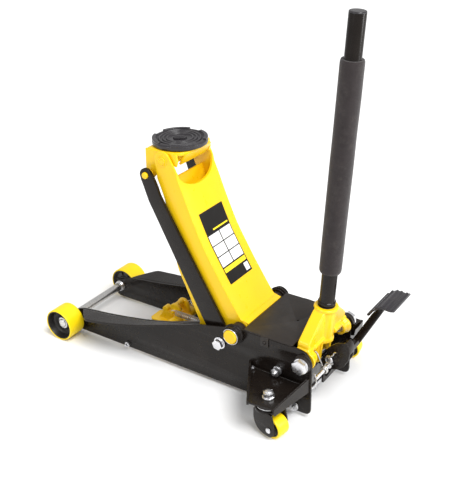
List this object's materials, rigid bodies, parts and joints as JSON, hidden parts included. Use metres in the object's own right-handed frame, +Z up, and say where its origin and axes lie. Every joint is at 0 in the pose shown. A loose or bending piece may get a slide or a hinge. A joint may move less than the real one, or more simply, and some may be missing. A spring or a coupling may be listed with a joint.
{
  "type": "hydraulic trolley jack",
  "caption": "Low trolley jack with a raised lift arm, round saddle, side plates, front wheels, rear casters, hydraulic pump, foam-gripped handle and foot pedal.",
  "frame": {"origin": "on the floor, under the middle of the bounding box with the lift arm raised", "axes": "+X towards the front wheels, +Y towards the jack's left side, +Z up; the lift arm is at its highest and the handle leans back 4 degrees"},
  "size_m": [0.82, 0.4104, 0.838],
  "materials": {
    "yellow_paint": "gloss",
    "black_paint": "gloss",
    "zinc_steel": "satin",
    "spring_steel": "satin",
    "ground_steel": "polished",
    "forged_steel": "satin",
    "yellow_wheel": "gloss",
    "black_hub": "matte",
    "foam": "matte",
    "black_rubber": "matte"
  },
  "bodies": {
    "chassis": {"side_plate_left": "black_paint", "side_plate_right": "black_paint", "cover_plate": "black_paint", "pivot_boss_left": "black_paint", "pivot_boss_right": "black_paint", "front_axle": "zinc_steel", "axle_collar_left": "zinc_steel", "axle_collar_right": "zinc_steel", "axle_ring_left": "zinc_steel", "axle_ring_right": "zinc_steel", "caster_bracket_left": "black_paint", "caster_bracket_right": "black_paint", "caster_stem_left": "zinc_steel", "caster_stem_right": "zinc_steel", "hydraulic_body": "black_paint", "main_cylinder": "black_paint", "gland_nut": "forged_steel", "frame_bolt_left": "zinc_steel", "frame_bolt_right": "zinc_steel", "rear_tie_rod": "zinc_steel", "link_bolt_left": "zinc_steel", "link_bolt_right": "zinc_steel", "socket_bolt_left": "zinc_steel", "socket_bolt_right": "zinc_steel", "return_spring_left": "spring_steel", "return_spring_right": "spring_steel", "pedal_bracket": "black_paint", "pedal_shaft": "zinc_steel", "pedal_spring": "spring_steel"},
    "arm": {"lift_arm": "yellow_paint", "main_pivot_pin": "yellow_paint", "saddle_pin": "yellow_paint"},
    "levelling_links": {"levelling_link_left": "black_paint", "levelling_link_right": "black_paint"},
    "bracket": {"saddle_bracket": "yellow_paint", "link_top_pin": "yellow_paint"},
    "saddle": {"saddle_pad": "black_rubber"},
    "ram": {"ram_rod": "ground_steel", "ram_head": "yellow_paint"},
    "ram_links": {"ram_link_left": "forged_steel", "ram_link_right": "forged_steel"},
    "front_wheel_left": {"front_wheel_tread_left": "yellow_wheel", "front_wheel_hub_left": "black_hub"},
    "front_wheel_right": {"front_wheel_tread_right": "yellow_wheel", "front_wheel_hub_right": "black_hub"},
    "caster_left": {"caster_fork_left": "black_paint", "caster_axle_left": "zinc_steel"},
    "caster_right": {"caster_fork_right": "black_paint", "caster_axle_right": "zinc_steel"},
    "caster_roller_left": {"caster_wheel_left": "yellow_wheel"},
    "caster_roller_right": {"caster_wheel_right": "yellow_wheel"},
    "socket": {"handle_socket": "yellow_paint"},
    "roller": {"pump_roller": "ground_steel"},
    "handle": {"handle_tube": "black_paint", "handle_grip": "foam", "handle_plug": "black_rubber"},
    "plunger": {"pump_plunger": "ground_steel"},
    "pedal": {"pedal_lever": "black_paint", "pedal_pad": "black_rubber"}
  },
  "joints": [
    {"name": "arm_lift", "type": "hinge", "parent": "chassis", "child": "arm", "pos_m": [-0.11, 0, 0.15], "axis": [0, -1, 0], "range_deg": [-72.5, 0]},
    {"name": "link_swing", "type": "hinge", "parent": "chassis", "child": "levelling_links", "pos_m": [-0.072, 0, 0.114], "axis": [0, -1, 0], "range_deg": [-72.5, 0]},
    {"name": "saddle_level", "type": "hinge", "parent": "arm", "child": "bracket", "pos_m": [0.0795, 0, 0.5], "axis": [0, -1, 0], "range_deg": [0, 72.5]},
    {"name": "saddle_turn", "type": "hinge", "parent": "bracket", "child": "saddle", "pos_m": [0.082, 0, 0.5193], "axis": [0, 0, 1], "continuous": true},
    {"name": "ram_travel", "type": "slide", "parent": "chassis", "child": "ram", "axis": [1, 0, 0], "range_m": [-0.095, 0], "deforming": ["return_spring_left", "return_spring_right"]},
    {"name": "ram_link_swing", "type": "hinge", "parent": "ram", "child": "ram_links", "pos_m": [0.1, 0, 0.075], "axis": [0, -1, 0], "range_deg": [0, 32]},
    {"name": "front_wheel_spin_left", "type": "hinge", "parent": "chassis", "child": "front_wheel_left", "pos_m": [0.37, 0.1228, 0.04], "axis": [0, 1, 0], "continuous": true},
    {"name": "front_wheel_spin_right", "type": "hinge", "parent": "chassis", "child": "front_wheel_right", "pos_m": [0.37, -0.1228, 0.04], "axis": [0, 1, 0], "continuous": true},
    {"name": "caster_swivel_left", "type": "hinge", "parent": "chassis", "child": "caster_left", "pos_m": [-0.242, 0.169, 0.06], "axis": [0, 0, 1], "continuous": true},
    {"name": "caster_swivel_right", "type": "hinge", "parent": "chassis", "child": "caster_right", "pos_m": [-0.242, -0.169, 0.06], "axis": [0, 0, 1], "continuous": true},
    {"name": "caster_spin_left", "type": "hinge", "parent": "caster_left", "child": "caster_roller_left", "pos_m": [-0.26219, 0.17256, 0.0235], "axis": [0.1736, 0.9848, 0], "continuous": true},
    {"name": "caster_spin_right", "type": "hinge", "parent": "caster_right", "child": "caster_roller_right", "pos_m": [-0.26219, -0.17256, 0.0235], "axis": [-0.1736, 0.9848, 0], "continuous": true},
    {"name": "handle_pump", "type": "hinge", "parent": "chassis", "child": "socket", "pos_m": [-0.281, 0, 0.137], "axis": [0, -1, 0], "range_deg": [-4, 42]},
    {"name": "pump_roller_spin", "type": "hinge", "parent": "socket", "child": "roller", "pos_m": [-0.26999, 0, 0.10597], "axis": [0, 1, 0], "continuous": true},
    {"name": "handle_twist", "type": "hinge", "parent": "socket", "child": "handle", "pos_m": [-0.27885, 0, 0.19728], "axis": [-0.0673, 0, 0.9977], "range_deg": [0, 90]},
    {"name": "plunger_stroke", "type": "slide", "parent": "chassis", "child": "plunger", "axis": [1, 0, 0], "range_m": [-0.003, 0.025]},
    {"name": "pedal_press", "type": "hinge", "parent": "chassis", "child": "pedal", "pos_m": [-0.304, 0, 0.101], "axis": [0, -1, 0], "range_deg": [0, 25], "stiffness_Nm_per_rad": 3}
  ],
  "couplings": [
    {"joint": "link_swing", "follows": "arm_lift", "ratio": 1},
    {"joint": "saddle_level", "follows": "arm_lift", "ratio": -1},
    {"joint": "ram_travel", "follows": "arm_lift", "m_per_rad": 0.07402},
    {"joint": "ram_link_swing", "follows": "arm_lift", "ratio": -0.42938},
    {"joint": "plunger_stroke", "follows": "handle_pump", "m_per_rad": 0.0315}
  ]
}
